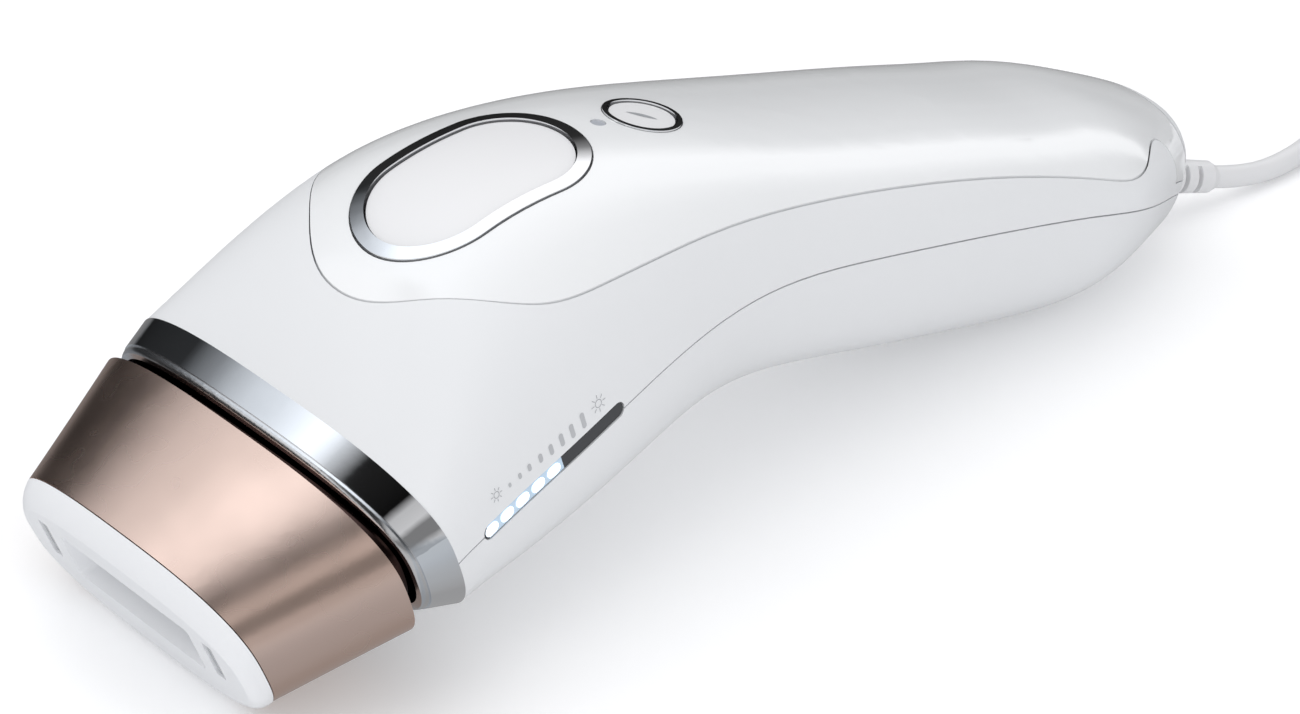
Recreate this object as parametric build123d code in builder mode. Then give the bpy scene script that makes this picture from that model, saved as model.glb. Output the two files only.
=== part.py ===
from build123d import *
import os
from math import cos, hypot, pi, radians, sin

os.makedirs("parts", exist_ok=True)

# A corded light hair remover lying on its belly and on the lower edge of its
# head. X runs from the treatment head (-X) to the tail (+X), Z is up, and the
# side with the level lights that is seen first is -Y.

# ---------------------------------------------------------------- dimensions
SIDE_WALL = 2.8         # shell wall on the sides and the belly
CROWN_WALL = 4.4        # shell and cover together, on top
COVER_THICKNESS = 1.8   # glossy top cover
COVER_GAP = 0.25        # fine line round the cover, the bezels and the buttons
SEAM_GAP = 0.25         # fine line between the two half shells

# Sections of the handle: place on the spine (x, z), tilt of the spine in
# degrees, half width, height above and below the seam, squareness.
RING_SECTION = (-65.4, 23.5, 17.5, 35.0, 12.2, 16.4, 2.7)
HANDLE_SECTIONS = [
    RING_SECTION,
    (-60.0, 25.0, 16.5, 34.0, 15.8, 17.8, 2.7),
    (-54.4, 26.4, 16.5, 33.2, 19.2, 19.1, 2.65),
    (-42.5, 29.9, 17.0, 31.8, 23.7, 21.6, 2.5),
    (-29.0, 34.0, 14.5, 29.9, 24.0, 23.2, 2.4),
    (-15.0, 36.7, 6.5, 27.5, 20.4, 23.8, 2.3),
    (-0.7, 37.0, -4.5, 25.5, 16.5, 23.9, 2.3),
    (13.4, 35.0, -10.5, 24.7, 14.2, 23.8, 2.3),
    (27.4, 32.1, -12.5, 24.3, 13.0, 24.2, 2.3),
    (55.0, 25.7, -14.0, 23.3, 11.4, 24.0, 2.3),
    (69.0, 21.9, -16.5, 22.7, 11.0, 22.6, 2.3),
    (79.0, 18.5, -19.0, 20.7, 11.3, 19.2, 2.3),
    (87.0, 15.2, -22.0, 16.6, 11.2, 14.8, 2.3),
    (92.6, 12.3, -25.0, 11.0, 8.9, 9.2, 2.3),
    (94.6, 11.0, -27.0, 5.6, 4.8, 4.8, 2.2),
]
STATIONS = 16           # sections lofted, evened out from the ones above
STATION_CROWDING = 0.35  # spacing at both ends, against the mean spacing

# Treatment head: distances run forwards from the ring along the head's axis.
HEAD_ORIGIN = (-65.4, 23.5)
HEAD_TILT = 17.5
RING_LENGTH = 4.6
RING_FRONT = (33.6, 11.0, 13.3)     # half width, height above, height below
LIP_LENGTH = 1.1
LIP_FRONT = (32.9, 10.3, 12.6)
LIP_WALL = 1.3
COLLAR = (30.9, 8.3, 10.7)
HOUSING_START = 7.9
HOUSING_REAR = (33.6, 12.4, 14.2)
HOUSING_REAR_DROP = 0.8
HOUSING_END = 27.9
HOUSING_FRONT = (26.2, 11.7, 13.0)
HOUSING_FRONT_DROP = 3.05
HEAD_SQUARENESS = 2.75
FACE_TILT = 22.0
CAP_MIDDLE = (25.9, 10.7, 11.6)
CAP_MIDDLE_LENGTH = 1.7
CAP_FRONT = (24.5, 8.6, 8.6)
CAP_LENGTH = 3.0
WINDOW_SIZE = (29.2, 8.2)
WINDOW_INNER_SIZE = (26.4, 6.6)
WINDOW_RISE = 0.7
SENSOR_SIZE = (2.1, 6.8)
SENSOR_OFFSET = 18.8

# Controls on the top of the handle.
TRIGGER_X = -35.5       # middle of the flash button along the handle
TRIGGER_Z = 56.9
TRIGGER_TILT = 8.0
TRIGGER_LENGTH = 31.8
TRIGGER_WIDTH = 18.8
TRIGGER_TRAVEL = 1.2
BEZEL_WIDTH = 2.2
MODE_X = -4.6
MODE_Z = 54.6
MODE_TILT = -13.5
MODE_RADIUS = 5.75
MODE_RIM_WIDTH = 0.75
MODE_TRAVEL = 0.6
LED_X = -12.6
LED_RADIUS = 1.1


# ------------------------------------------------------------------- helpers
def spine_plane(x, z, tilt):
    """A plane square to the spine: local X runs across the part, local Y up."""
    lean = radians(tilt)
    return Plane(origin=(x, 0, z), x_dir=(0, 1, 0), z_dir=(cos(lean), 0, sin(lean)))


def head_plane(ahead, rise=0.0):
    """A spine plane in front of the ring, on the axis of the head."""
    lean = radians(HEAD_TILT)
    x = HEAD_ORIGIN[0] - ahead * cos(lean) - rise * sin(lean)
    z = HEAD_ORIGIN[1] - ahead * sin(lean) + rise * cos(lean)
    return spine_plane(x, z, HEAD_TILT)


def face_plane(ahead):
    """A plane of the face cap, ahead of the front edge of the housing."""
    base = head_plane(HOUSING_END, -HOUSING_FRONT_DROP).origin
    lean = radians(FACE_TILT)
    sink = 0.37 * ahead
    x = base.X - ahead * cos(lean) + sink * sin(lean)
    z = base.Z - ahead * sin(lean) - sink * cos(lean)
    return spine_plane(x, z, FACE_TILT)


def top_plane(x, z, tilt):
    """A plane lying on the top of the handle: local X runs towards the tail."""
    lean = radians(tilt)
    return Plane(origin=(x, 0, z), x_dir=(cos(lean), 0, sin(lean)), z_dir=(-sin(lean), 0, cos(lean)))


def cubic_through(places, values):
    """A function for the natural cubic spline through values at places."""
    last = len(places) - 1
    bends = [0.0] * (last + 1)
    carry = [0.0] * (last + 1)
    for i in range(1, last):
        before = places[i] - places[i - 1]
        after = places[i + 1] - places[i]
        rise = (values[i + 1] - values[i]) / after - (values[i] - values[i - 1]) / before
        pivot = 2 * (before + after) - before * carry[i - 1]
        carry[i] = after / pivot
        bends[i] = (6 * rise - before * bends[i - 1]) / pivot
    for i in range(last - 1, 0, -1):
        bends[i] -= carry[i] * bends[i + 1]

    def value_at(place):
        i = max(k for k in range(last) if places[k] <= place or k == 0)
        span = places[i + 1] - places[i]
        b = (place - places[i]) / span
        a = 1 - b
        bow = (a ** 3 - a) * bends[i] + (b ** 3 - b) * bends[i + 1]
        return a * values[i] + b * values[i + 1] + bow * span ** 2 / 6

    return value_at


def evened_sections():
    """The handle's sections at stations whose spacing changes gently."""
    places = [0.0]
    for before, after in zip(HANDLE_SECTIONS, HANDLE_SECTIONS[1:]):
        places.append(places[-1] + hypot(after[0] - before[0], after[1] - before[1]))
    curves = [cubic_through(places, column) for column in zip(*HANDLE_SECTIONS)]
    sections = []
    for station in range(STATIONS):
        share = station / (STATIONS - 1)
        eased = (1 - cos(pi * share)) / 2
        place = places[-1] * (STATION_CROWDING * share + (1 - STATION_CROWDING) * eased)
        sections.append(tuple(curve(place) for curve in curves))
    return sections


def oval_points(half_width, above, below, squareness):
    """Points round a squarish oval that is taller on one side of its axis."""
    count = 24
    points = []
    for step in range(count):
        angle = 2 * pi * step / count
        height = above if step < count / 2 else below
        across = abs(cos(angle)) ** (2 / squareness)
        up = abs(sin(angle)) ** (2 / squareness)
        across = across if cos(angle) > 0 else -across
        up = up if sin(angle) > 0 else -up
        points.append((half_width * across, height * up))
    return points


def oval_solid(planes, sizes):
    """A smooth solid through squarish ovals, one on each plane."""
    with BuildPart() as solid:
        for plane, size in zip(planes, sizes):
            with BuildSketch(plane):
                with BuildLine():
                    Spline(*oval_points(*size), periodic=True)
                make_face()
        loft()
    return solid.part


def handle_solid(inset, crown_inset=None, start=0.0):
    """The outer form of the handle, moved inwards by a wall thickness."""
    crown_inset = inset if crown_inset is None else crown_inset
    planes = []
    sizes = []
    for x, z, tilt, width, above, below, square in evened_sections():
        if width - inset < 2.2 or above - crown_inset < 2.0:
            continue
        planes.append(spine_plane(x, z, tilt))
        sizes.append((width - inset, above - crown_inset, below - inset, square))
    if start > 0:
        planes.insert(0, planes[0].offset(-start))
        sizes.insert(0, sizes[0])
    return oval_solid(planes, sizes)


def control_prism(plane, length, width, depth=14.0):
    """A stadium-shaped prism straddling the surface at one control."""
    with BuildPart() as prism:
        with BuildSketch(plane):
            if length > width:
                SlotOverall(length, width)
            else:
                Circle(width / 2)
        extrude(amount=depth, both=True)
    return prism.part


def save(name, part):
    """Label one finished piece and write it as its own node."""
    part.label = name
    export_step(part, f"parts/{name}.step")


# ----------------------------------------------------------- shared geometry
outer = handle_solid(0)
cavity = handle_solid(SIDE_WALL, CROWN_WALL, start=2.0)
under_cover = handle_solid(COVER_THICKNESS)
cover_bed = handle_solid(COVER_THICKNESS + 0.1)

# Everything above the seam between the half shells.
SEAM_START = -72.0
SEAM_END = 110.0
SKY = 90.0
with BuildPart() as above_seam:
    with BuildSketch(Plane.XZ):
        with BuildLine():
            spine = Spline(*[(section[0], section[1]) for section in HANDLE_SECTIONS])
            Polyline(
                spine @ 1,
                (SEAM_END, HANDLE_SECTIONS[-1][1] - 7),
                (SEAM_END, SKY),
                (SEAM_START, SKY),
                (SEAM_START, HANDLE_SECTIONS[0][1] - 2),
                spine @ 0,
            )
        make_face()
    extrude(amount=60, both=True)

# Outline of the glossy cover, seen from above: a blunt rounded front, a broad
# shoulder beside the flash button and a slim straight tail.
COVER_FRONT = -58.0
COVER_SHOULDER = (-36.0, 24.6)
COVER_WAIST = (-12.0, 22.8)
COVER_TAIL = (66.0, 21.0)
COVER_END = 94.2
COVER_RISE = 2.5        # the cover stays this far above the seam


def cover_prism(grow):
    """A vertical prism over the outline of the top cover."""
    with BuildPart() as prism:
        with BuildSketch(Plane.XY):
            with BuildLine():
                side = Spline(
                    (COVER_FRONT - grow, 0),
                    (COVER_FRONT + 5.6, 13.8 + grow),
                    (COVER_SHOULDER[0] - 6, COVER_SHOULDER[1] - 1.2 + grow),
                    (COVER_SHOULDER[0] + 4, COVER_SHOULDER[1] + grow),
                    (COVER_WAIST[0], COVER_WAIST[1] + grow),
                    (COVER_TAIL[0], COVER_TAIL[1] + grow),
                    (COVER_END - 15.5, 18.8 + grow),
                    (COVER_END - 7.4, 14.2 + grow),
                    (COVER_END + grow, 0),
                    tangents=[(0, 1), (0, -1)],
                )
                mirror(side, about=Plane.XZ)
            make_face()
        extrude(amount=70)
        add(above_seam.part.moved(Location((0, 0, COVER_RISE - grow))), mode=Mode.INTERSECT)
    return prism.part


trigger_plane = top_plane(TRIGGER_X, TRIGGER_Z, TRIGGER_TILT)
mode_plane = top_plane(MODE_X, MODE_Z, MODE_TILT)
bezel_length = TRIGGER_LENGTH + 2 * BEZEL_WIDTH
bezel_width = TRIGGER_WIDTH + 2 * BEZEL_WIDTH
trigger_hole = control_prism(trigger_plane, TRIGGER_LENGTH + 0.6, TRIGGER_WIDTH + 0.6)
bezel_hole = control_prism(
    trigger_plane, bezel_length + 2 * COVER_GAP, bezel_width + 2 * COVER_GAP
)
mode_hole = control_prism(mode_plane, 0, 2 * (MODE_RADIUS - MODE_RIM_WIDTH) + 0.1)
mode_rim_hole = control_prism(mode_plane, 0, 2 * (MODE_RADIUS + 0.1))
led_plane = top_plane(LED_X, 56.3, -9.0)
led_hole = control_prism(led_plane, 0, 2 * LED_RADIUS + 0.1, 8.0)

# The level lights sit in a slot along the seam, on both sides.
SLOT_START = (-60.2, 24.9)
SLOT_END = (-33.2, 33.2)
SLOT_HEIGHT = 2.5
slot_middle = ((SLOT_START[0] + SLOT_END[0]) / 2, (SLOT_START[1] + SLOT_END[1]) / 2)
slot_length = ((SLOT_END[0] - SLOT_START[0]) ** 2 + (SLOT_END[1] - SLOT_START[1]) ** 2) ** 0.5
slot_plane = Plane(
    origin=(slot_middle[0], 0, slot_middle[1]),
    x_dir=(SLOT_END[0] - SLOT_START[0], 0, SLOT_END[1] - SLOT_START[1]),
    z_dir=(0, -1, 0),
)
with BuildPart() as light_slot:
    with BuildSketch(slot_plane):
        SlotOverall(slot_length, SLOT_HEIGHT)
    extrude(amount=45, both=True)

# Strain relief at the tail: a tapered boot that leaves the end of the handle
# a little downwards and towards the near side.
BOOT_ROOT = (94.4, 0, 8.9)
BOOT_PITCH = -16.0
BOOT_YAW = -11.0
BOOT_LENGTH = 17.0
BOOT_ROOT_RADIUS = 2.9
BOOT_TIP_RADIUS = 2.25
BOOT_TAIL = 7.0         # length of the part held inside the shells
CORD_RADIUS = 1.8
boot_direction = Vector(
    cos(radians(BOOT_PITCH)) * cos(radians(BOOT_YAW)),
    cos(radians(BOOT_PITCH)) * sin(radians(BOOT_YAW)),
    sin(radians(BOOT_PITCH)),
)
boot_plane = Plane(
    origin=BOOT_ROOT,
    x_dir=boot_direction,
    z_dir=boot_direction.cross(Vector(0, 0, 1)),
)
with BuildPart() as boot_hole:
    with BuildSketch(Plane(origin=BOOT_ROOT, z_dir=boot_direction)):
        Circle(BOOT_ROOT_RADIUS + 0.05)
    extrude(amount=9, both=True)

# ------------------------------------------------------------------ casings
with BuildPart() as lower_shell:
    add(outer)
    add(cavity, mode=Mode.SUBTRACT)
    add(above_seam.part.moved(Location((0, 0, -SEAM_GAP))), mode=Mode.SUBTRACT)
    add(light_slot.part, mode=Mode.SUBTRACT)
    add(boot_hole.part, mode=Mode.SUBTRACT)
save("lower_shell", lower_shell.part)

with BuildPart() as upper_shell:
    add(outer)
    add(cavity, mode=Mode.SUBTRACT)
    add(above_seam.part, mode=Mode.INTERSECT)
    add(cover_prism(COVER_GAP) - cover_bed, mode=Mode.SUBTRACT)
    add(trigger_hole, mode=Mode.SUBTRACT)
    add(mode_hole, mode=Mode.SUBTRACT)
    add(led_hole, mode=Mode.SUBTRACT)
    add(light_slot.part, mode=Mode.SUBTRACT)
    add(boot_hole.part, mode=Mode.SUBTRACT)
save("upper_shell", upper_shell.part)

with BuildPart() as top_cover:
    add(outer)
    add(under_cover, mode=Mode.SUBTRACT)
    add(cover_prism(0), mode=Mode.INTERSECT)
    add(bezel_hole, mode=Mode.SUBTRACT)
    add(mode_rim_hole, mode=Mode.SUBTRACT)
    add(led_hole, mode=Mode.SUBTRACT)
save("top_cover", top_cover.part)

# ------------------------------------------------------------ ring and collar
def head_oval(size, drop=0.0, wall=0.0, squareness=HEAD_SQUARENESS):
    """The size tuple of one oval of the head, thinned by a wall."""
    return (size[0] - wall, size[1] - wall, size[2] - wall, squareness)


ring_rear = RING_SECTION[3:6]
with BuildPart() as head_ring:
    add(oval_solid(
        [head_plane(0), head_plane(RING_LENGTH)],
        [head_oval(ring_rear), head_oval(RING_FRONT)],
    ))
    add(oval_solid(
        [head_plane(-1), head_plane(RING_LENGTH + 1)],
        [head_oval(ring_rear, wall=1.8), head_oval(RING_FRONT, wall=1.6)],
    ), mode=Mode.SUBTRACT)
save("head_ring", head_ring.part)

with BuildPart() as ring_lip:
    add(oval_solid(
        [head_plane(RING_LENGTH + length) for length in (0, LIP_LENGTH * 0.6, LIP_LENGTH)],
        [
            head_oval(RING_FRONT, wall=0.25),
            head_oval(RING_FRONT, wall=0.35),
            head_oval(LIP_FRONT, wall=0.0),
        ],
    ))
    add(oval_solid(
        [head_plane(RING_LENGTH - 1), head_plane(RING_LENGTH + LIP_LENGTH + 1)],
        [head_oval(LIP_FRONT, wall=LIP_WALL - 0.3), head_oval(LIP_FRONT, wall=LIP_WALL - 0.3)],
    ), mode=Mode.SUBTRACT)
save("ring_lip", ring_lip.part)

# ---------------------------------------------------- removable treatment head
COLLAR_START = 0.5
COLLAR_WALL = 1.5
with BuildPart() as head_collar:
    add(oval_solid(
        [head_plane(COLLAR_START), head_plane(HOUSING_START)],
        [head_oval(COLLAR), head_oval(COLLAR)],
    ))
    add(oval_solid(
        [head_plane(COLLAR_START - 1), head_plane(HOUSING_START + 1)],
        [head_oval(COLLAR, wall=COLLAR_WALL), head_oval(COLLAR, wall=COLLAR_WALL)],
    ), mode=Mode.SUBTRACT)
save("head_collar", head_collar.part)

HOUSING_WALL = 2.0
HOUSING_FLOOR = 1.6
housing_planes = [head_plane(HOUSING_START, -HOUSING_REAR_DROP), face_plane(0)]
with BuildPart() as head_housing:
    add(oval_solid(housing_planes, [head_oval(HOUSING_REAR), head_oval(HOUSING_FRONT)]))
    add(oval_solid(
        [housing_planes[0].offset(-HOUSING_FLOOR), housing_planes[1].offset(-1)],
        [
            head_oval(HOUSING_REAR, wall=HOUSING_WALL + 0.3),
            head_oval(HOUSING_FRONT, wall=HOUSING_WALL),
        ],
    ), mode=Mode.SUBTRACT)
    add(oval_solid(
        [head_plane(HOUSING_START - 3), head_plane(HOUSING_START + HOUSING_FLOOR + 2)],
        [head_oval(COLLAR, wall=COLLAR_WALL), head_oval(COLLAR, wall=COLLAR_WALL)],
    ), mode=Mode.SUBTRACT)
save("head_housing", head_housing.part)

CAP_SEAM = 0.15
WINDOW_DEPTH = 2.6
FILTER_THICKNESS = 1.2
SENSOR_DEPTH = 1.0
cap_front_plane = face_plane(CAP_LENGTH)
window_front = Plane(
    origin=cap_front_plane.from_local_coords((0, WINDOW_RISE, 0)),
    x_dir=(0, 1, 0),
    z_dir=cap_front_plane.z_dir,
)
with BuildPart() as face_cap:
    add(oval_solid(
        [face_plane(CAP_SEAM), face_plane(CAP_MIDDLE_LENGTH), cap_front_plane],
        [head_oval(HOUSING_FRONT), head_oval(CAP_MIDDLE), head_oval(CAP_FRONT)],
    ))
    fillet(face_cap.edges().filter_by(lambda e: e.center().X < cap_front_plane.origin.X + 0.6), 0.5)
    with BuildSketch(window_front):
        RectangleRounded(*WINDOW_SIZE, 0.8)
    with BuildSketch(window_front.offset(WINDOW_DEPTH)):
        RectangleRounded(*WINDOW_INNER_SIZE, 0.6)
    loft(mode=Mode.SUBTRACT)
    with BuildSketch(window_front.offset(WINDOW_DEPTH)):
        RectangleRounded(*WINDOW_INNER_SIZE, 0.6)
    extrude(amount=4, mode=Mode.SUBTRACT)
    with BuildSketch(window_front.offset(-1)):
        with Locations((-SENSOR_OFFSET, 0.8), (SENSOR_OFFSET, 0.8)):
            RectangleRounded(*SENSOR_SIZE, 0.3)
    extrude(amount=1 + SENSOR_DEPTH, mode=Mode.SUBTRACT)
save("face_cap", face_cap.part)

with BuildPart() as window_filter:
    with BuildSketch(window_front.offset(CAP_LENGTH + 0.05)):
        RectangleRounded(WINDOW_INNER_SIZE[0] + 2, WINDOW_INNER_SIZE[1] + 2, 0.8)
    extrude(amount=FILTER_THICKNESS)
save("window_filter", window_filter.part)

with BuildPart() as skin_sensors:
    with BuildSketch(window_front.offset(SENSOR_DEPTH - 0.6)):
        with Locations((-SENSOR_OFFSET, 0.8), (SENSOR_OFFSET, 0.8)):
            RectangleRounded(SENSOR_SIZE[0] - 0.2, SENSOR_SIZE[1] - 0.2, 0.25)
    extrude(amount=0.6)
save("skin_sensors", skin_sensors.part)

# ------------------------------------------------------------- flash lamp unit
NECK_FRAME = (30.8, 6.6, 12.4)
NECK_FRAME_START = -1.2
NECK_FRAME_THICKNESS = 2.0
HOLDER_DROP = 2.0
HOLDER_SIZE = (42.0, 12.0)
HOLDER_FRONT = 19.0
HOLDER_BACK = -7.0
with BuildPart() as lamp_holder:
    with BuildSketch(head_plane(HOLDER_FRONT, -HOLDER_DROP)):
        RectangleRounded(*HOLDER_SIZE, 2)
        Rectangle(HOLDER_SIZE[0] - 10, HOLDER_SIZE[1] - 3, mode=Mode.SUBTRACT)
    extrude(amount=HOLDER_FRONT - HOLDER_BACK)
save("lamp_holder", lamp_holder.part)

with BuildPart() as neck_frame:
    add(oval_solid(
        [head_plane(NECK_FRAME_START), head_plane(NECK_FRAME_START - NECK_FRAME_THICKNESS)],
        [head_oval(NECK_FRAME), head_oval(NECK_FRAME)],
    ))
    with BuildSketch(head_plane(5, -HOLDER_DROP)):
        RectangleRounded(HOLDER_SIZE[0] + 0.1, HOLDER_SIZE[1] + 0.1, 2)
    extrude(amount=20, mode=Mode.SUBTRACT)
save("neck_frame", neck_frame.part)

REFLECTOR_SIZE = (31.0, 8.6)
REFLECTOR_FRONT = 25.6
REFLECTOR_DEPTH = 6.4
REFLECTOR_WALL = 0.5
REFLECTOR_RISE = -1.6
with BuildPart() as reflector:
    with BuildSketch(head_plane(REFLECTOR_FRONT, REFLECTOR_RISE)):
        RectangleRounded(*REFLECTOR_SIZE, 0.5)
    extrude(amount=REFLECTOR_DEPTH)
    with BuildSketch(head_plane(REFLECTOR_FRONT + 0.1, REFLECTOR_RISE)):
        Rectangle(REFLECTOR_SIZE[0] - 2 * REFLECTOR_WALL, REFLECTOR_SIZE[1] - 2 * REFLECTOR_WALL)
    with BuildSketch(head_plane(REFLECTOR_FRONT - REFLECTOR_DEPTH + 0.8, REFLECTOR_RISE)):
        Rectangle(REFLECTOR_SIZE[0] - 2, REFLECTOR_SIZE[1] - 3.6)
    loft(mode=Mode.SUBTRACT)
save("reflector", reflector.part)

LAMP_RADIUS = 1.7
LAMP_LENGTH = 27.0
LAMP_DEPTH = 3.4
lamp_centre = head_plane(REFLECTOR_FRONT - LAMP_DEPTH, REFLECTOR_RISE).origin
lamp_plane = Plane(origin=lamp_centre, x_dir=(1, 0, 0), z_dir=(0, 1, 0))
with BuildPart() as flash_lamp:
    with BuildSketch(lamp_plane):
        Circle(LAMP_RADIUS)
        Circle(LAMP_RADIUS - 0.5, mode=Mode.SUBTRACT)
    extrude(amount=LAMP_LENGTH / 2, both=True)
save("flash_lamp", flash_lamp.part)

with BuildPart() as lamp_electrodes:
    for side in (-1, 1):
        with BuildSketch(lamp_plane.offset(side * (LAMP_LENGTH / 2 - 4.5))):
            Circle(LAMP_RADIUS - 0.6)
        extrude(amount=side * 5.5)
save("lamp_electrodes", lamp_electrodes.part)

# -------------------------------------------------------------------- controls
BUTTON_SINK = 0.3
BUTTON_DEPTH = 5.3
FLANGE_TOP = 5.1
FLANGE_BOTTOM = 6.2
BEZEL_PROUD = 0.25
button_skin = handle_solid(BUTTON_SINK) - handle_solid(BUTTON_DEPTH)
flange_skin = handle_solid(FLANGE_TOP) - handle_solid(FLANGE_BOTTOM)
bezel_skin = handle_solid(-BEZEL_PROUD) - under_cover

with BuildPart() as trigger_button:
    add(button_skin)
    add(control_prism(trigger_plane, TRIGGER_LENGTH, TRIGGER_WIDTH), mode=Mode.INTERSECT)
    add(flange_skin & control_prism(trigger_plane, TRIGGER_LENGTH + 2, TRIGGER_WIDTH + 2))
save("trigger_button", trigger_button.part)

with BuildPart() as trigger_bezel:
    add(bezel_skin)
    add(control_prism(trigger_plane, bezel_length, bezel_width), mode=Mode.INTERSECT)
    add(trigger_hole, mode=Mode.SUBTRACT)
save("trigger_bezel", trigger_bezel.part)

with BuildPart() as mode_button:
    add(handle_solid(0.1) - handle_solid(BUTTON_DEPTH))
    add(
        control_prism(mode_plane, 0, 2 * (MODE_RADIUS - MODE_RIM_WIDTH - COVER_GAP)),
        mode=Mode.INTERSECT,
    )
    add(flange_skin & control_prism(mode_plane, 0, 2 * MODE_RADIUS))
save("mode_button", mode_button.part)

with BuildPart() as mode_rim:
    add(bezel_skin)
    add(control_prism(mode_plane, 0, 2 * MODE_RADIUS), mode=Mode.INTERSECT)
    add(mode_hole, mode=Mode.SUBTRACT)
save("mode_rim", mode_rim.part)

with BuildPart() as status_light:
    add(handle_solid(0.2) - handle_solid(4.0))
    add(control_prism(led_plane, 0, 2 * LED_RADIUS, 8), mode=Mode.INTERSECT)
save("status_light", status_light.part)

TRIGGER_SWITCH_DROP = FLANGE_BOTTOM + TRIGGER_TRAVEL + 0.3
MODE_SWITCH_DROP = FLANGE_BOTTOM + MODE_TRAVEL + 0.3
SWITCH_HEIGHT = 3.2
BOARD = 1.2
with BuildPart() as trigger_board:
    with BuildSketch(trigger_plane.offset(-TRIGGER_SWITCH_DROP - SWITCH_HEIGHT)):
        RectangleRounded(28, 15, 1)
    extrude(amount=-BOARD)
save("trigger_board", trigger_board.part)

with BuildPart() as mode_board:
    with BuildSketch(mode_plane.offset(-MODE_SWITCH_DROP - SWITCH_HEIGHT)):
        RectangleRounded(10, 13, 1)
    extrude(amount=-BOARD)
save("mode_board", mode_board.part)


def switch(plane, drop):
    """A square tact switch with a round plunger, standing on its board."""
    with BuildPart() as block:
        with BuildSketch(plane.offset(-drop - SWITCH_HEIGHT)):
            RectangleRounded(6, 6, 0.4)
        extrude(amount=SWITCH_HEIGHT - 1)
        with BuildSketch(plane.offset(-drop - 1)):
            Circle(1.7)
        extrude(amount=1)
    return block.part


save("trigger_switch", switch(trigger_plane, TRIGGER_SWITCH_DROP))
save("mode_switch", switch(mode_plane, MODE_SWITCH_DROP))

with BuildPart() as trigger_domes:
    for side in (-1, 1):
        with BuildSketch(trigger_plane.offset(-TRIGGER_SWITCH_DROP - SWITCH_HEIGHT)):
            with Locations((side * 9.5, 0)):
                Circle(3)
        extrude(amount=SWITCH_HEIGHT - 1.5, taper=22)
save("trigger_domes", trigger_domes.part)

# --------------------------------------------------------------- level lights
lens_skin = handle_solid(0.2) - handle_solid(SIDE_WALL - 0.2)
for name, side in (("level_lens_left", -1), ("level_lens_right", 1)):
    with BuildPart() as level_lens:
        with BuildSketch(slot_plane):
            SlotOverall(slot_length - 0.2, SLOT_HEIGHT - 0.2)
        extrude(amount=-45 * side)
        add(lens_skin, mode=Mode.INTERSECT)
    save(name, level_lens.part)

LED_COUNT = 8
LED_PITCH = 3.3
LEVEL_BOARD_Y = 24.6
for name, side in (("level_board_left", -1), ("level_board_right", 1)):
    with BuildPart() as level_board:
        with BuildSketch(slot_plane.offset(-side * LEVEL_BOARD_Y)):
            RectangleRounded(slot_length - 1, 5, 0.5)
        extrude(amount=-side * 1.0)
        with BuildSketch(slot_plane.offset(-side * (LEVEL_BOARD_Y + 1))):
            with GridLocations(LED_PITCH, 1, LED_COUNT, 1):
                Rectangle(2.2, 1.4)
        extrude(amount=-side * 0.9)
    save(name, level_board.part)

# ------------------------------------------------------------------ electronics
BOARD_TILT = -13.0
BOARD_SIZE = (78.0, 33.0)
BOARD_THICKNESS = 1.6
board_plane = top_plane(38.0, 27.5, BOARD_TILT)
with BuildPart() as main_board:
    with BuildSketch(board_plane):
        RectangleRounded(*BOARD_SIZE, 2)
        with GridLocations(BOARD_SIZE[0] - 7, BOARD_SIZE[1] - 7, 2, 2):
            Circle(1.4, mode=Mode.SUBTRACT)
    extrude(amount=-BOARD_THICKNESS)
save("main_board", main_board.part)

CAPACITOR_RADIUS = 8.2
CAPACITOR_LENGTH = 42.0
CAPACITOR_X = -6.0
below_board = board_plane.offset(-BOARD_THICKNESS)
capacitor_centre = below_board.from_local_coords(
    (CAPACITOR_X - CAPACITOR_LENGTH / 2, 0, -CAPACITOR_RADIUS - 0.2)
)
with BuildPart() as flash_capacitor:
    with BuildSketch(Plane(origin=capacitor_centre, z_dir=board_plane.x_dir)):
        Circle(CAPACITOR_RADIUS)
    extrude(amount=CAPACITOR_LENGTH)
    fillet(flash_capacitor.edges(), 0.8)
save("flash_capacitor", flash_capacitor.part)

with BuildPart() as trigger_transformer:
    with BuildSketch(below_board):
        with Locations((24, 0)):
            RectangleRounded(15, 18, 1)
    extrude(amount=-12)
save("trigger_transformer", trigger_transformer.part)

with BuildPart() as charge_coil:
    with BuildSketch(board_plane):
        with Locations((14, -6)):
            Circle(5.5)
    extrude(amount=6)
    fillet(charge_coil.edges().group_by(Axis.Z)[-1], 0.8)
save("charge_coil", charge_coil.part)

# ------------------------------------------------------------------ cooling fan
FAN_SIZE = 26.0
FAN_THICKNESS = 8.5
FAN_BORE = 12.1
ROTOR_RADIUS = 11.6
HUB_RADIUS = 5.0
BLADES = 7
STRUT_THICKNESS = 1.4
fan_plane = spine_plane(-17.0, 31.4, 4.0)
fan_front = fan_plane.offset(-FAN_THICKNESS / 2)
with BuildPart() as fan_frame:
    with BuildSketch(fan_front):
        RectangleRounded(FAN_SIZE, FAN_SIZE, 2.5)
        Circle(FAN_BORE, mode=Mode.SUBTRACT)
        with GridLocations(FAN_SIZE - 5, FAN_SIZE - 5, 2, 2):
            Circle(1.3, mode=Mode.SUBTRACT)
    extrude(amount=FAN_THICKNESS)
    with BuildSketch(fan_front.offset(FAN_THICKNESS - STRUT_THICKNESS)):
        Circle(HUB_RADIUS)
        with PolarLocations(0, 3):
            with Locations((FAN_BORE / 2, 0)):
                Rectangle(FAN_BORE + 1, 1.8)
    extrude(amount=STRUT_THICKNESS)
save("fan_frame", fan_frame.part)

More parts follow.
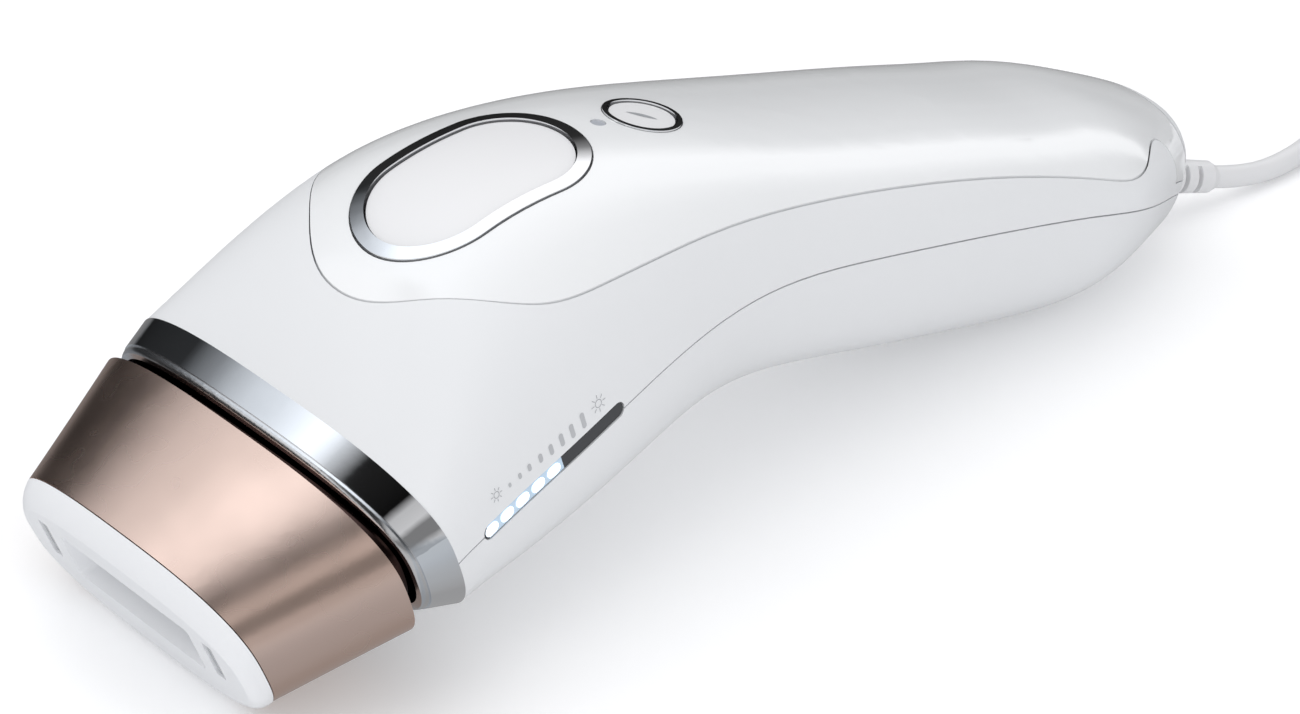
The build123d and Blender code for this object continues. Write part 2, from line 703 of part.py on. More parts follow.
ROTOR_GAP = 0.5
ROTOR_LENGTH = FAN_THICKNESS - STRUT_THICKNESS - 2 * ROTOR_GAP
BLADE_TWIST = 34.0
with BuildPart() as fan_rotor:
    with BuildSketch(fan_front.offset(ROTOR_GAP)):
        Circle(HUB_RADIUS)
    extrude(amount=ROTOR_LENGTH)
    for blade in range(BLADES):
        for end in (0, 1):
            turn = radians(360 / BLADES * blade + end * BLADE_TWIST)
            end_plane = fan_front.offset(ROTOR_GAP + 0.2 + end * (ROTOR_LENGTH - 0.4))
            along = end_plane.x_dir * cos(turn) + end_plane.y_dir * sin(turn)
            blade_plane = Plane(origin=end_plane.origin, x_dir=along, z_dir=end_plane.z_dir)
            with BuildSketch(blade_plane):
                with Locations(((HUB_RADIUS + ROTOR_RADIUS) / 2 - 0.5, 0)):
                    Rectangle(ROTOR_RADIUS - HUB_RADIUS + 0.6, 1.1)
        loft()
save("fan_rotor", fan_rotor.part)

# ------------------------------------------------------- strain relief and cord
GROOVES = 3
GROOVE_WIDTH = 0.9
GROOVE_PITCH = 2.7
GROOVE_DEPTH = 0.7
with BuildPart() as strain_relief:
    with BuildSketch(boot_plane):
        with BuildLine():
            Polyline(
                (-BOOT_TAIL, 0),
                (-BOOT_TAIL, BOOT_ROOT_RADIUS),
                (2, BOOT_ROOT_RADIUS),
                (BOOT_LENGTH - 1.2, BOOT_TIP_RADIUS + 0.3),
                (BOOT_LENGTH, BOOT_TIP_RADIUS - 0.3),
                (BOOT_LENGTH, 0),
                close=True,
            )
        make_face()
    revolve(axis=Axis(BOOT_ROOT, boot_direction))
    for groove in range(GROOVES):
        reach = BOOT_LENGTH - 4.2 - groove * GROOVE_PITCH
        for half in (-1, 1):
            with BuildSketch(boot_plane.offset(half * 1.1)):
                with Locations((reach, 0)):
                    Rectangle(GROOVE_WIDTH, 9)
            extrude(amount=half * 5, mode=Mode.SUBTRACT)
save("strain_relief", strain_relief.part)

boot_tip = Vector(*BOOT_ROOT) + boot_direction * BOOT_LENGTH
CORD_REST = CORD_RADIUS + 0.05
VISIBLE_ROUTE = [
    (boot_tip.X, boot_tip.Y, boot_tip.Z),
    (118.0, -4.6, CORD_REST + 0.15),
    (130.0, -4.2, CORD_REST),
    (141.0, 0.0, CORD_REST),
    (149.5, 7.5, CORD_REST),
    (156.6, 16.2, CORD_REST),
]
LEAD_ROUTE = [
    (206.0, -7.5, CORD_REST),
    (205.2, -19.5, CORD_REST),
    (201.4, -31.5, CORD_REST),
    (193.2, -42.0, 2.6),
    (183.0, -47.5, 4.6),
    (172.0, -47.5, 4.6),
]


def bend_radii(route):
    """The largest arc that each corner's two runs allow."""
    radii = []
    for before, corner, after in zip(route, route[1:], route[2:]):
        run_in = Vector(*corner) - Vector(*before)
        run_out = Vector(*after) - Vector(*corner)
        half_turn = radians(run_in.get_angle(run_out) / 2)
        shorter = min(run_in.length, run_out.length)
        radii.append(0.45 * shorter * cos(half_turn) / sin(half_turn))
    return radii


COIL_CENTRE = (178.0, 0.0)
COIL_INNER_RADIUS = 12.6
COIL_OUTER_RADIUS = 27.4
COIL_HEIGHT = 13.2
COIL_CHAMFER = 1.6
TIE_ANGLE = 60.0
TIE_WIDTH = 6.0
TIE_THICKNESS = 0.9
TIE_GAP = 0.6
coil_middle = (COIL_INNER_RADIUS + COIL_OUTER_RADIUS) / 2
tie_across = COIL_OUTER_RADIUS - COIL_INNER_RADIUS + 2 * TIE_GAP
tie_plane = Plane(
    origin=(
        COIL_CENTRE[0] + coil_middle * cos(radians(TIE_ANGLE)),
        COIL_CENTRE[1] + coil_middle * sin(radians(TIE_ANGLE)),
        COIL_HEIGHT / 2,
    ),
    x_dir=(cos(radians(TIE_ANGLE)), sin(radians(TIE_ANGLE)), 0),
    z_dir=(-sin(radians(TIE_ANGLE)), cos(radians(TIE_ANGLE)), 0),
)
with BuildPart() as cord_tie:
    with BuildSketch(tie_plane):
        Rectangle(tie_across + 2 * TIE_THICKNESS, COIL_HEIGHT)
        Rectangle(tie_across, COIL_HEIGHT - 2 * TIE_THICKNESS, mode=Mode.SUBTRACT)
    extrude(amount=TIE_WIDTH / 2, both=True)
    fillet(cord_tie.edges().filter_by(Axis(tie_plane.origin, tie_plane.z_dir)).group_by(Axis.Z)[-1], 0.8)
save("cord_tie", cord_tie.part)

# The put-away cord, its turns as one solid ring, dented where the tie holds it.
with BuildPart() as cord_coil:
    with BuildSketch(Plane.XY):
        with Locations(COIL_CENTRE):
            Circle(COIL_OUTER_RADIUS)
            Circle(COIL_INNER_RADIUS, mode=Mode.SUBTRACT)
    extrude(amount=COIL_HEIGHT)
    chamfer(cord_coil.edges().filter_by(GeomType.CIRCLE), COIL_CHAMFER)
    with BuildSketch(tie_plane):
        Rectangle(tie_across + 2, COIL_HEIGHT + 2)
        Rectangle(tie_across + 2, COIL_HEIGHT - 2 * TIE_THICKNESS - 0.1, mode=Mode.SUBTRACT)
    extrude(amount=TIE_WIDTH / 2 + 0.1, both=True, mode=Mode.SUBTRACT)
save("cord_coil", cord_coil.part)

for name, route in (("power_cord", VISIBLE_ROUTE), ("adapter_lead", LEAD_ROUTE)):
    first_run = Vector(*route[1]) - Vector(*route[0])
    with BuildPart() as cord_tube:
        with BuildLine():
            FilletPolyline(*route, radius=bend_radii(route))
        with BuildSketch(Plane(origin=route[0], z_dir=first_run)):
            Circle(CORD_RADIUS)
        sweep()
        add(cord_coil.part, mode=Mode.SUBTRACT)
    save(name, cord_tube.part)

# ---------------------------------------------------------------- power adapter
ADAPTER_SIZE = (56.0, 31.0, 26.0)
ADAPTER_CENTRE = (134.0, -47.5)
ADAPTER_BOOT_HEIGHT = 4.6
PIN_SPACING = 19.0
PIN_RADIUS = 2.0
PIN_LENGTH = 19.0
PIN_OFFSET = -8.0
with BuildPart() as adapter_body:
    with BuildSketch(Plane.XY):
        with Locations(ADAPTER_CENTRE):
            RectangleRounded(ADAPTER_SIZE[0], ADAPTER_SIZE[1], 5)
    extrude(amount=ADAPTER_SIZE[2])
    fillet(adapter_body.faces().sort_by(Axis.Z)[0].edges(), 1.5)
    fillet(adapter_body.faces().sort_by(Axis.Z)[-1].edges(), 3)
    with BuildSketch(Plane.XY.offset(ADAPTER_SIZE[2])):
        with Locations((ADAPTER_CENTRE[0] + PIN_OFFSET, ADAPTER_CENTRE[1])):
            SlotOverall(28, 12, rotation=90)
    extrude(amount=2.2)
save("adapter_body", adapter_body.part)

with BuildPart() as adapter_pins:
    with BuildSketch(Plane.XY.offset(ADAPTER_SIZE[2] + 2.2)):
        with Locations((ADAPTER_CENTRE[0] + PIN_OFFSET, ADAPTER_CENTRE[1])):
            with GridLocations(1, PIN_SPACING, 1, 2):
                Circle(PIN_RADIUS)
    extrude(amount=PIN_LENGTH)
    fillet(adapter_pins.edges().group_by(Axis.Z)[-1], 1.2)
save("adapter_pins", adapter_pins.part)

adapter_end = ADAPTER_CENTRE[0] + ADAPTER_SIZE[0] / 2
with BuildPart() as adapter_boot:
    with BuildSketch(Plane.YZ.offset(adapter_end)):
        with Locations((ADAPTER_CENTRE[1], ADAPTER_BOOT_HEIGHT)):
            Circle(3.4)
    with BuildSketch(Plane.YZ.offset(LEAD_ROUTE[-1][0])):
        with Locations((ADAPTER_CENTRE[1], ADAPTER_BOOT_HEIGHT)):
            Circle(2.2)
    loft()
save("adapter_boot", adapter_boot.part)
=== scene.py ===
from math import atan2, cos, pi, radians, sin

import bpy
from mathutils import Matrix, Vector


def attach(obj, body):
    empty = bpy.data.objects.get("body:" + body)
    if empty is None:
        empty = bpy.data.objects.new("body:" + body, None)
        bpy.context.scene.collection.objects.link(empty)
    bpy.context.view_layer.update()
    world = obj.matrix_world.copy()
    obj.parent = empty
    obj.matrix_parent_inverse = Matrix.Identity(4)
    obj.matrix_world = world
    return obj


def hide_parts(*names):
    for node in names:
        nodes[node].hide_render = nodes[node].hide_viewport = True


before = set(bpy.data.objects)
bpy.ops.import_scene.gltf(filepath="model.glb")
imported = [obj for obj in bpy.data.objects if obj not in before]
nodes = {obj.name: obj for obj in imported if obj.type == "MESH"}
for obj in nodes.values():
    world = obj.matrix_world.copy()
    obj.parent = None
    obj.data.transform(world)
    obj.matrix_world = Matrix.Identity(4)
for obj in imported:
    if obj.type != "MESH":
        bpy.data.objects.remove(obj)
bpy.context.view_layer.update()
scene = bpy.context.scene
MM = 0.001


# ---------------------------------------------------------------- camera
cam_data = bpy.data.cameras.new("camera")
camera = bpy.data.objects.new("camera", cam_data)
scene.collection.objects.link(camera)
scene.camera = camera
cam_right = Vector((0.76251, -0.64680, 0.01508))
cam_up = Vector((0.33356, 0.41299, 0.84745))
cam_back = Vector((-0.55436, -0.64116, 0.53066))
place = Matrix((cam_right, cam_up, cam_back)).transposed().to_4x4()
place.translation = (-0.42784, -0.49214, 0.42114)
camera.matrix_world = place
cam_data.sensor_width = 36
cam_data.lens = 147.53
cam_data.clip_start = 0.01
cam_data.clip_end = 20


# ---------------------------------------------------------------- helpers
def link(name, mesh_or_curve):
    """A new object in the scene, at the origin."""
    thing = bpy.data.objects.new(name, mesh_or_curve)
    scene.collection.objects.link(thing)
    return thing


def mesh_object(name, verts, faces, smooth=True):
    """A new mesh object from points in metres."""
    mesh = bpy.data.meshes.new(name)
    mesh.from_pydata([tuple(v) for v in verts], [], faces)
    mesh.update()
    if smooth:
        mesh.polygons.foreach_set("use_smooth", [True] * len(mesh.polygons))
    return link(name, mesh)


# ---------------------------------------------------------------- materials
NOISE_LOW, NOISE_HIGH = 0.3, 0.7    # the part of the noise's range that is used


def new_material(name, color, rough, metallic=0.0, **sockets):
    """A principled material. Colour and roughness are varied by the calls below."""
    mat = bpy.data.materials.new(name)
    mat.use_nodes = True
    shader = mat.node_tree.nodes["Principled BSDF"]
    shader.inputs["Base Color"].default_value = (*color, 1)
    shader.inputs["Roughness"].default_value = rough
    shader.inputs["Metallic"].default_value = metallic
    for key, value in sockets.items():
        shader.inputs[key.replace("_", " ")].default_value = value
    return mat


def noise(mat, scale, detail):
    """A noise texture in the piece's own frame, scale in features per metre."""
    tree = mat.node_tree
    coord = tree.nodes.new("ShaderNodeTexCoord")
    tex = tree.nodes.new("ShaderNodeTexNoise")
    tex.inputs["Scale"].default_value = scale
    tex.inputs["Detail"].default_value = detail
    tree.links.new(coord.outputs["Object"], tex.inputs["Vector"])
    return tex


def vary_color(mat, low, high, scale):
    """Base colour that drifts between two close colours."""
    tree = mat.node_tree
    tex = noise(mat, scale, 3.0)
    ramp = tree.nodes.new("ShaderNodeValToRGB")
    ramp.color_ramp.elements[0].position = NOISE_LOW
    ramp.color_ramp.elements[1].position = NOISE_HIGH
    ramp.color_ramp.elements[0].color = (*low, 1)
    ramp.color_ramp.elements[1].color = (*high, 1)
    tree.links.new(tex.outputs["Fac"], ramp.inputs["Fac"])
    tree.links.new(ramp.outputs["Color"], tree.nodes["Principled BSDF"].inputs["Base Color"])


def vary_rough(mat, low, high, scale):
    """Roughness that drifts between two values."""
    tree = mat.node_tree
    tex = noise(mat, scale, 2.0)
    span = tree.nodes.new("ShaderNodeMapRange")
    span.inputs["From Min"].default_value = NOISE_LOW
    span.inputs["From Max"].default_value = NOISE_HIGH
    span.inputs["To Min"].default_value = low
    span.inputs["To Max"].default_value = high
    tree.links.new(tex.outputs["Fac"], span.inputs["Value"])
    tree.links.new(span.outputs["Result"], tree.nodes["Principled BSDF"].inputs["Roughness"])


def grain(mat, scale, depth, strength):
    """A fine moulded or sprayed grain, depth in metres."""
    tree = mat.node_tree
    tex = noise(mat, scale, 2.0)
    bump = tree.nodes.new("ShaderNodeBump")
    bump.inputs["Strength"].default_value = strength
    bump.inputs["Distance"].default_value = depth
    tree.links.new(tex.outputs["Fac"], bump.inputs["Height"])
    tree.links.new(bump.outputs["Normal"], tree.nodes["Principled BSDF"].inputs["Normal"])


def plastic(name, color, rough, drift=0.02, grain_scale=2600, grain_depth=2e-5, **sockets):
    """Moulded plastic: slight colour drift, uneven gloss and a fine grain."""
    mat = new_material(name, color, rough, **sockets)
    low = tuple(max(0.0, c - drift) for c in color)
    high = tuple(min(1.0, c + drift) for c in color)
    vary_color(mat, low, high, 26)
    vary_rough(mat, rough * 0.92, rough * 1.1, 60)
    grain(mat, grain_scale, grain_depth, 0.2)
    return mat


def metal(name, color, rough, drift=0.02, grain_scale=900, grain_depth=4e-6, **sockets):
    """Metal or metal-look plating."""
    mat = new_material(name, color, rough, 1.0, **sockets)
    low = tuple(max(0.0, c - drift) for c in color)
    high = tuple(min(1.0, c + drift) for c in color)
    vary_color(mat, low, high, 40)
    vary_rough(mat, rough * 0.85, rough * 1.2, 80)
    grain(mat, grain_scale, grain_depth, 0.15)
    return mat


shell_white = plastic("shell_white", (0.80, 0.81, 0.825), 0.34, 0.006, 5200, 6e-6)
cover_white = plastic(
    "cover_white", (0.87, 0.88, 0.89), 0.10, 0.004, 900, 1e-6, Coat_Weight=0.6, Coat_Roughness=0.04
)
cap_white = plastic("cap_white", (0.85, 0.86, 0.88), 0.36, 0.006, 5200, 6e-6)
button_white = plastic("button_white", (0.80, 0.80, 0.81), 0.30, 0.005, 5200, 5e-6)
rose = metal("rose_metallic", (0.88, 0.655, 0.555), 0.25, 0.012, 6500, 1.6e-5)
bronze = metal("dark_bronze", (0.055, 0.032, 0.028), 0.10, 0.006)
chrome = metal("chrome", (0.88, 0.885, 0.90), 0.035, 0.01)
lip_metal = metal("silver_lip", (0.78, 0.785, 0.80), 0.20, 0.01)
black = plastic("black_plastic", (0.025, 0.025, 0.028), 0.42, 0.005)
boards = plastic("board_green", (0.03, 0.15, 0.07), 0.35, 0.012)
sleeve = plastic("capacitor_sleeve", (0.02, 0.025, 0.07), 0.25, 0.004)
copper = metal("copper_wire", (0.72, 0.38, 0.22), 0.30)
silicone = plastic("grey_silicone", (0.32, 0.33, 0.34), 0.55, 0.015)
cord_rubber = plastic("cord_white", (0.76, 0.76, 0.77), 0.42, 0.01, 3000, 1e-5)
nickel = metal("nickel", (0.66, 0.64, 0.60), 0.22)
mirror_metal = metal("reflector_metal", (0.85, 0.86, 0.87), 0.12)
smoked = plastic("smoked_lens", (0.035, 0.037, 0.042), 0.08, 0.004, Coat_Weight=0.5)
sensor_dark = plastic("sensor_dark", (0.42, 0.43, 0.45), 0.25, 0.01)
led_dot = plastic("status_dot", (0.44, 0.46, 0.50), 0.15, 0.01)
glass = plastic("window_glass", (0.62, 0.66, 0.70), 0.04, 0.01)
tube_glass = plastic("tube_glass", (0.85, 0.88, 0.90), 0.03, 0.01)
for clear, amount in ((glass, 0.75), (tube_glass, 0.9)):
    clear.node_tree.nodes["Principled BSDF"].inputs["Transmission Weight"].default_value = amount

looks = {
    shell_white: ["lower_shell", "upper_shell"],
    cap_white: ["face_cap"],
    button_white: ["trigger_button", "mode_button"],
    rose: ["head_housing"],
    bronze: ["head_collar"],
    chrome: ["head_ring", "trigger_bezel", "mode_rim"],
    lip_metal: ["ring_lip"],
    black: ["lamp_holder", "neck_frame", "trigger_switch", "mode_switch", "trigger_transformer",
            "fan_frame", "fan_rotor", "cord_tie"],
    boards: ["trigger_board", "mode_board", "level_board_left", "level_board_right", "main_board"],
    sleeve: ["flash_capacitor"],
    copper: ["charge_coil"],
    silicone: ["trigger_domes"],
    cord_rubber: ["strain_relief", "power_cord", "adapter_lead", "cord_coil", "adapter_boot"],
    nickel: ["adapter_pins", "lamp_electrodes"],
    mirror_metal: ["reflector"],
    smoked: ["level_lens_left", "level_lens_right"],
    sensor_dark: ["skin_sensors"],
    led_dot: ["status_light"],
    glass: ["window_filter"],
    tube_glass: ["flash_lamp"],
    cover_white: ["top_cover", "adapter_body"],
}
for material, names in looks.items():
    for name in names:
        data = nodes[name].data
        data.materials.clear()
        data.materials.append(material)


# ---------------------------------------------------------------- cord
# The same route as the solids: boot tip, table, coil, adapter.
EXIT = (0.110441, -0.003118, 0.004215)
visible_route = [
    EXIT,
    (0.1180, -0.0046, 0.0020),
    (0.1300, -0.0042, 0.00185),
    (0.1410, 0.0000, 0.00185),
    (0.1495, 0.0075, 0.00185),
]
COIL_X, COIL_Y = 0.178, 0.0
CORD_RADIUS = 0.0018
FIRST_ROW = 0.00185
ROW_STEP = 0.00312
rows = [
    [0.0254, 0.0218, 0.0182, 0.0146],
    [0.0164, 0.0200, 0.0236],
    [0.0254, 0.0218, 0.0182, 0.0146],
    [0.0164, 0.0200, 0.0236],
]
turns = []
for level, radii in enumerate(rows):
    for radius in radii:
        turns.append((radius, FIRST_ROW + level * ROW_STEP))
PER_TURN = 14
START = radians(143)
RISE_STEPS = 4                      # points over which one turn moves to the next
OUTSET = 1 / cos(pi / PER_TURN)     # the spline runs this much inside its points
coil_points = []
for index, (radius, height) in enumerate(turns):
    after = turns[min(index + 1, len(turns) - 1)]
    for step in range(PER_TURN):
        angle = START - 2 * pi * step / PER_TURN
        blend = max(0.0, (step - PER_TURN + RISE_STEPS) / RISE_STEPS)
        r = (radius + (after[0] - radius) * blend) * OUTSET
        z = height + (after[1] - height) * blend
        coil_points.append((COIL_X + r * cos(angle), COIL_Y + r * sin(angle), z))
last_radius, last_height = turns[-1]
way_down = [
    (last_radius, last_height),
    (0.0247, last_height - 0.0006),
    (0.0264, 0.0085),
    (0.0276, 0.0052),
    (0.0283, 0.0026),
]
for step, (r, z) in enumerate(way_down):
    angle = START - 2 * pi * step / PER_TURN
    coil_points.append((COIL_X + r * cos(angle), COIL_Y + r * sin(angle), z))
lead_route = [
    (0.2060, -0.0075, 0.00185),
    (0.2052, -0.0195, 0.00185),
    (0.2014, -0.0315, 0.00185),
    (0.1932, -0.0420, 0.0026),
    (0.1830, -0.0475, 0.0046),
    (0.1720, -0.0475, 0.0046),
]
route = visible_route + coil_points + lead_route
cord_curve = bpy.data.curves.new("mains_cord", "CURVE")
cord_curve.dimensions = "3D"
cord_curve.bevel_depth = CORD_RADIUS
cord_curve.bevel_resolution = 6
cord_curve.resolution_u = 6
cord_curve.use_fill_caps = True
line = cord_curve.splines.new("NURBS")
line.points.add(len(route) - 1)
for point, where in zip(line.points, route):
    point.co = (*where, 1)
line.order_u = 3
line.use_endpoint_u = True
line.use_smooth = True
mains_cord = link("mains_cord", cord_curve)
mains_cord.data.materials.append(cord_rubber)
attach(mains_cord, "device")
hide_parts("power_cord", "cord_coil", "adapter_lead")


# ---------------------------------------------------------------- printed marks
OUTSIDE = 0.08          # a distance outside the whole object, where rays start


def skin_point(node, x, z, side, lift):
    """The point of a CAD surface at that x and z, seen from one side, lifted a little."""
    ahead = Vector((0, -side, 0))
    hit, where, normal, _ = nodes[node].ray_cast(Vector((x, OUTSIDE * side, z)), ahead)
    if not hit:
        raise ValueError(f"no surface of {node} at x {x}, z {z}")
    return where + normal.normalized() * lift


def mark(name, outlines, node, side, material, lift):
    """A thin printed mark: flat outlines in x and z, laid on the surface from one side."""
    verts, faces = [], []
    for outline in outlines:
        first = len(verts)
        for x, z in outline:
            verts.append(skin_point(node, x, z, side, lift))
        order = list(range(first, len(verts)))
        faces.append(order if side < 0 else order[::-1])
    piece = mesh_object(name, verts, faces, False)
    piece.data.materials.append(material)
    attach(piece, "device")
    return piece


def pill(x, z, length, width, lean, steps=7):
    """Outline of a stadium with its long axis at an angle from +x."""
    points = []
    straight = max(0.0, length / 2 - width / 2)
    for end in (1, -1):
        for step in range(steps + 1):
            turn = -pi / 2 + pi * step / steps + (0 if end > 0 else pi)
            a = straight * end + width / 2 * cos(turn)
            b = width / 2 * sin(turn)
            points.append((x + a * cos(lean) - b * sin(lean), z + a * sin(lean) + b * cos(lean)))
    return points


def sun(x, z, size):
    """Outlines of a plain sun: a ring in short pieces and eight rays."""
    shapes = []
    count = 12
    thick = 0.00009
    inner = size * 0.20
    for step in range(count):
        a, b = 2 * pi * step / count, 2 * pi * (step + 1) / count
        shapes.append([
            (x + inner * cos(a), z + inner * sin(a)),
            (x + (inner + thick) * cos(a), z + (inner + thick) * sin(a)),
            (x + (inner + thick) * cos(b), z + (inner + thick) * sin(b)),
            (x + inner * cos(b), z + inner * sin(b)),
        ])
    for ray in range(8):
        angle = pi / 4 * ray + 0.2
        middle = size * 0.40
        out_x, out_z = x + middle * cos(angle), z + middle * sin(angle)
        shapes.append(pill(out_x, out_z, size * 0.22, thick, angle, 3))
    return shapes


print_grey = plastic("print_grey", (0.36, 0.37, 0.39), 0.4, 0.02)
print_soft = plastic("print_soft_grey", (0.50, 0.51, 0.53), 0.4, 0.02)
# Each bar: x, z, length and width in millimetres.
bars = [
    (-55.0, 30.5, 0.72, 0.50),
    (-53.1, 31.05, 0.95, 0.60),
    (-51.3, 31.55, 1.15, 0.66),
    (-49.2, 32.05, 1.42, 0.72),
    (-47.2, 32.5, 1.75, 0.76),
    (-45.2, 33.1, 2.05, 0.80),
    (-43.2, 33.6, 2.3, 0.80),
    (-41.1, 34.3, 2.55, 0.80),
]
BAR_LEAN = radians(104)
for side, word in ((-1, "left"), (1, "right")):
    shapes = [pill(x * MM, z * MM, long * MM, wide * MM, BAR_LEAN) for x, z, long, wide in bars]
    mark("level_marks_" + word, shapes, "upper_shell", side, print_soft, 3e-5)
    suns = sun(-0.0575, 0.0301, 0.0021) + sun(-0.0381, 0.0356, 0.0027)
    mark("sun_marks_" + word, suns, "upper_shell", side, print_grey, 4e-5)

# A plain crescent on the mode button, laid on from above.
crescent = []
for step in range(15):
    t = -1 + 2 * step / 14
    crescent.append((2.3 * t, 0.55 * (1 - t * t) - 0.2))
for step in range(1, 14):
    t = 1 - 2 * step / 14
    crescent.append((2.3 * t, -0.35 * (1 - t * t) - 0.2))
ICON_X = -4.6
turn = radians(-52)
down = Vector((0, 0, -1))
verts = []
for a, b in crescent:
    x = ICON_X + a * cos(turn) - b * sin(turn)
    y = a * sin(turn) + b * cos(turn)
    _, where, normal, _ = nodes["mode_button"].ray_cast(Vector((x * MM, y * MM, 0.09)), down)
    verts.append(where + normal * 4e-5)
icon = mesh_object("mode_icon", verts, [list(range(len(verts)))], False)
icon.data.materials.append(print_grey)
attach(icon, "mode_key")

# ---------------------------------------------------------------- lit level lights
# The slot's ends and the lit lengths are in millimetres, in the x-z plane.
lit = bpy.data.materials.new("lit_segment")
lit.use_nodes = True
lit_shader = lit.node_tree.nodes["Principled BSDF"]
lit_shader.inputs["Base Color"].default_value = (0.9, 0.95, 1.0, 1)
lit_shader.inputs["Roughness"].default_value = 0.3
lit_shader.inputs["Emission Color"].default_value = (0.80, 0.90, 1.0, 1)
lit_shader.inputs["Emission Strength"].default_value = 1.4
vary_color(lit, (0.86, 0.93, 1.0), (0.93, 0.97, 1.0), 300)
glow = bpy.data.materials.new("lit_lens")
glow.use_nodes = True
glow_shader = glow.node_tree.nodes["Principled BSDF"]
glow_shader.inputs["Base Color"].default_value = (0.40, 0.50, 0.60, 1)
glow_shader.inputs["Roughness"].default_value = 0.12
glow_shader.inputs["Emission Color"].default_value = (0.55, 0.72, 0.88, 1)
glow_shader.inputs["Emission Strength"].default_value = 0.30
vary_color(glow, (0.36, 0.45, 0.55), (0.44, 0.54, 0.64), 300)
slot_a, slot_b = Vector((-60.2, 24.9)), Vector((-33.2, 33.2))
slot_dir = (slot_b - slot_a).normalized()
slot_lean = atan2(slot_dir.y, slot_dir.x)
LIT_START = 0.9
LIT_LENGTH = 14.9
LIT_SLICES = 12
LIT_HALF_WIDTH = 1.08
CELLS = 5
CELL_START, CELL_STEP = 1.6, 3.1
CELL_LENGTH, CELL_WIDTH = 2.5, 1.7
for side, word in ((-1, "left"), (1, "right")):
    node = "level_lens_" + word
    slices = []
    for index in range(LIT_SLICES):
        low = slot_a + slot_dir * (LIT_START + LIT_LENGTH * index / LIT_SLICES)
        high = slot_a + slot_dir * (LIT_START + LIT_LENGTH * (index + 1) / LIT_SLICES)
        across = Vector((-slot_dir.y, slot_dir.x)) * LIT_HALF_WIDTH
        corners = (low - across, high - across, high + across, low + across)
        slices.append([(corner.x * MM, corner.y * MM) for corner in corners])
    base = mark("lit_lens_" + word, slices, node, side, glow, 2e-5)
    shapes = []
    for index in range(CELLS):
        at = slot_a + slot_dir * (CELL_START + CELL_STEP * index)
        shapes.append(pill(at.x * MM, at.y * MM, CELL_LENGTH * MM, CELL_WIDTH * MM, slot_lean))
    cells = mark("lit_cells_" + word, shapes, node, side, lit, 9e-5)


# ---------------------------------------------------------------- stage
REACH = 3
FLOOR_Z = -0.0002       # just under the object, so that the two don't flicker
corners = [(-REACH, -REACH), (REACH, -REACH), (REACH, REACH), (-REACH, REACH)]
floor = mesh_object("floor", [(x, y, FLOOR_Z) for x, y in corners], [(0, 1, 2, 3)])
floor_paint = plastic("floor_paint", (0.90, 0.90, 0.905), 0.65, 0.004, 400, 1e-6)
floor.data.materials.append(floor_paint)
floor_shader = floor_paint.node_tree.nodes["Principled BSDF"]
floor_shader.inputs["Emission Color"].default_value = (0.99, 0.995, 1.0, 1)
floor_shader.inputs["Emission Strength"].default_value = 0.16
floor.visible_glossy = False        # in gloss the bands below stand for the table

world = bpy.data.worlds.new("studio")
scene.world = world
world.use_nodes = True
sky = world.node_tree
# The object's gloss sees bright and dark bands, and everything else sees a plain sky.
sky_coord = sky.nodes.new("ShaderNodeTexCoord")
sky_split = sky.nodes.new("ShaderNodeSeparateXYZ")
sky.links.new(sky_coord.outputs["Generated"], sky_split.inputs["Vector"])
sky_turn = sky.nodes.new("ShaderNodeMath")
sky_turn.operation = "ARCTAN2"
sky.links.new(sky_split.outputs["Z"], sky_turn.inputs[0])
sky.links.new(sky_split.outputs["Y"], sky_turn.inputs[1])
sky_band = sky.nodes.new("ShaderNodeMapRange")
sky_band.inputs["From Min"].default_value = -pi
sky_band.inputs["From Max"].default_value = pi
sky.links.new(sky_turn.outputs["Value"], sky_band.inputs["Value"])


def band_ramp(stops):
    """Brightness of the studio, by the angle from the far horizon over the top."""
    ramp = sky.nodes.new("ShaderNodeValToRGB")
    marks = ramp.color_ramp.elements
    while len(marks) > 1:
        marks.remove(marks[-1])
    marks[0].position = 0.0
    marks[0].color = (0.6, 0.6, 0.6, 1)
    for degrees_up, value in stops:
        mark_at = marks.new((degrees_up + 180) / 360)
        mark_at.color = (value, value, value * 1.01, 1)
    sky.links.new(sky_band.outputs["Result"], ramp.inputs["Fac"])
    return ramp


# Each stop: degrees up from the far horizon, and brightness. The first ramp is
# for most of the object, and the second for what the ring at the neck mirrors.
open_bands = band_ramp([
    (-160, 0.58), (-109, 0.40), (-60, 0.40), (-5, 0.20), (2, 0.015),
    (33, 0.03), (40, 0.30), (46, 1.0), (51, 1.5), (70, 1.4), (82, 0.75),
    (96, 0.22), (110, 0.08), (135, 0.10), (155, 0.32), (170, 0.42),
])
ring_bands = band_ramp([
    (-160, 0.7), (-60, 0.6), (-5, 0.25), (2, 0.015),
    (33, 0.02), (39, 0.95), (46, 1.3), (51, 0.9), (56, 0.02), (90, 0.005),
    (99, 0.62), (118, 0.72), (128, 0.25), (150, 0.25), (165, 0.6),
])
sky_side = sky.nodes.new("ShaderNodeMapRange")
sky_side.inputs["From Min"].default_value = -0.37
sky_side.inputs["From Max"].default_value = -0.30
sky.links.new(sky_split.outputs["X"], sky_side.inputs["Value"])
sky_mix = sky.nodes.new("ShaderNodeMix")
sky_mix.data_type = "RGBA"
sky.links.new(sky_side.outputs["Result"], sky_mix.inputs["Factor"])
sky.links.new(ring_bands.outputs["Color"], sky_mix.inputs["A"])
sky.links.new(open_bands.outputs["Color"], sky_mix.inputs["B"])
sky_path = sky.nodes.new("ShaderNodeLightPath")
sky_final = sky.nodes.new("ShaderNodeMix")
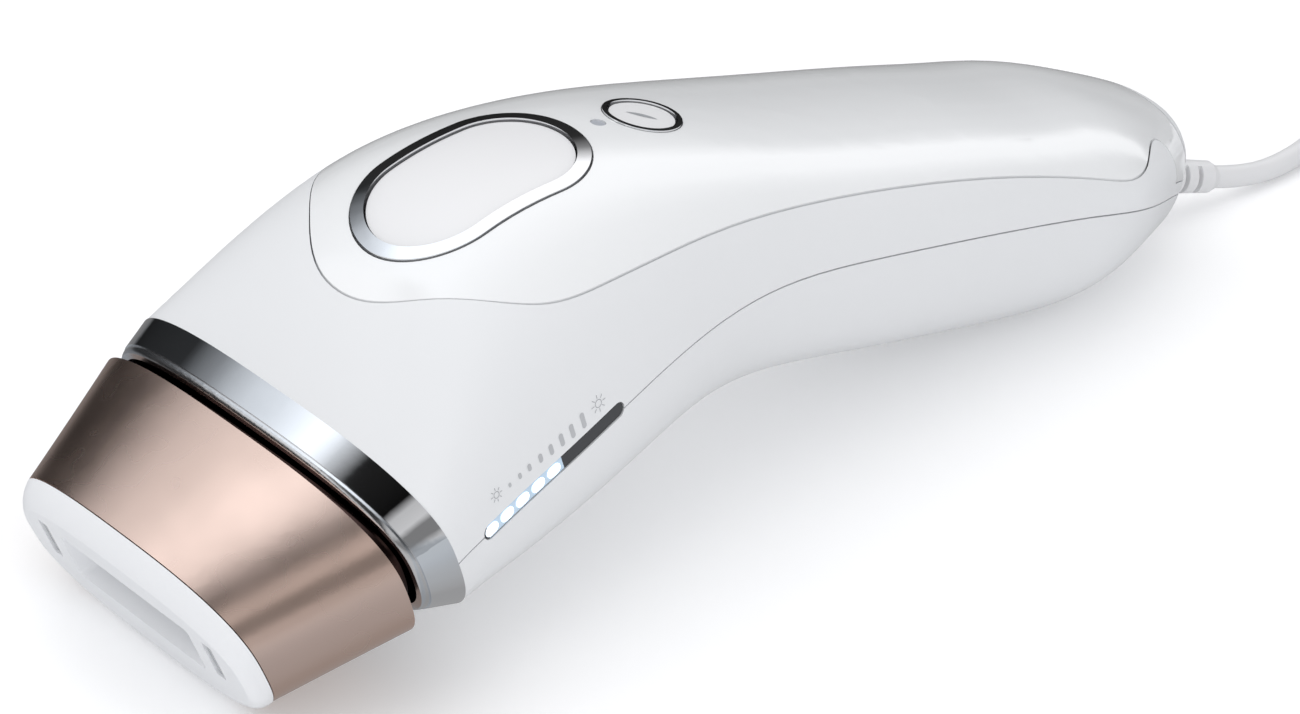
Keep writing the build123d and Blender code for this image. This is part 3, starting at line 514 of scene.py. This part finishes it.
sky_final.data_type = "RGBA"
sky_final.inputs["A"].default_value = (0.90, 0.905, 0.92, 1)

# A slightly cool tint in the directions that the head mirrors.
sky_tint = sky.nodes.new("ShaderNodeValToRGB")
tint_marks = sky_tint.color_ramp.elements
tint_marks[0].position, tint_marks[0].color = 0.30, (1, 1, 1, 1)
tint_marks[1].position, tint_marks[1].color = 0.62, (1, 1, 1, 1)
for place_on_x in (0.345, 0.50):
    tint_marks.new(place_on_x).color = (1.0, 1.06, 1.12, 1)
sky_x = sky.nodes.new("ShaderNodeMapRange")
sky_x.inputs["From Min"].default_value = -1
sky_x.inputs["From Max"].default_value = 1
sky.links.new(sky_split.outputs["X"], sky_x.inputs["Value"])
sky.links.new(sky_x.outputs["Result"], sky_tint.inputs["Fac"])
sky_cool = sky.nodes.new("ShaderNodeMix")
sky_cool.data_type = "RGBA"
sky_cool.blend_type = "MULTIPLY"
sky_cool.inputs["Factor"].default_value = 1.0
sky.links.new(sky_mix.outputs["Result"], sky_cool.inputs["A"])
sky.links.new(sky_tint.outputs["Color"], sky_cool.inputs["B"])
sky.links.new(sky_path.outputs["Is Glossy Ray"], sky_final.inputs["Factor"])
sky.links.new(sky_cool.outputs["Result"], sky_final.inputs["B"])
sky.links.new(sky_final.outputs["Result"], sky.nodes["Background"].inputs["Color"])
sky.nodes["Background"].inputs["Strength"].default_value = 0.85


def softbox(name, where, aim, size, power):
    """A rectangular soft light aimed at a point."""
    lamp = bpy.data.lights.new(name, "AREA")
    lamp.shape = "RECTANGLE"
    lamp.size, lamp.size_y = size
    lamp.energy = power
    box = link(name, lamp)
    box.location = where
    box.rotation_mode = "QUATERNION"
    box.rotation_quaternion = (Vector(aim) - Vector(where)).to_track_quat("-Z", "Y")
    box.visible_glossy = False
    return box


softbox("key", (-0.1, 0.15, 0.9), (0, 0, 0.02), (1.0, 1.0), 3.0)
softbox("fill", (-0.7, -0.7, 0.6), (0, 0, 0.02), (0.9, 0.9), 1.0)
scene.view_settings.view_transform = "Standard"
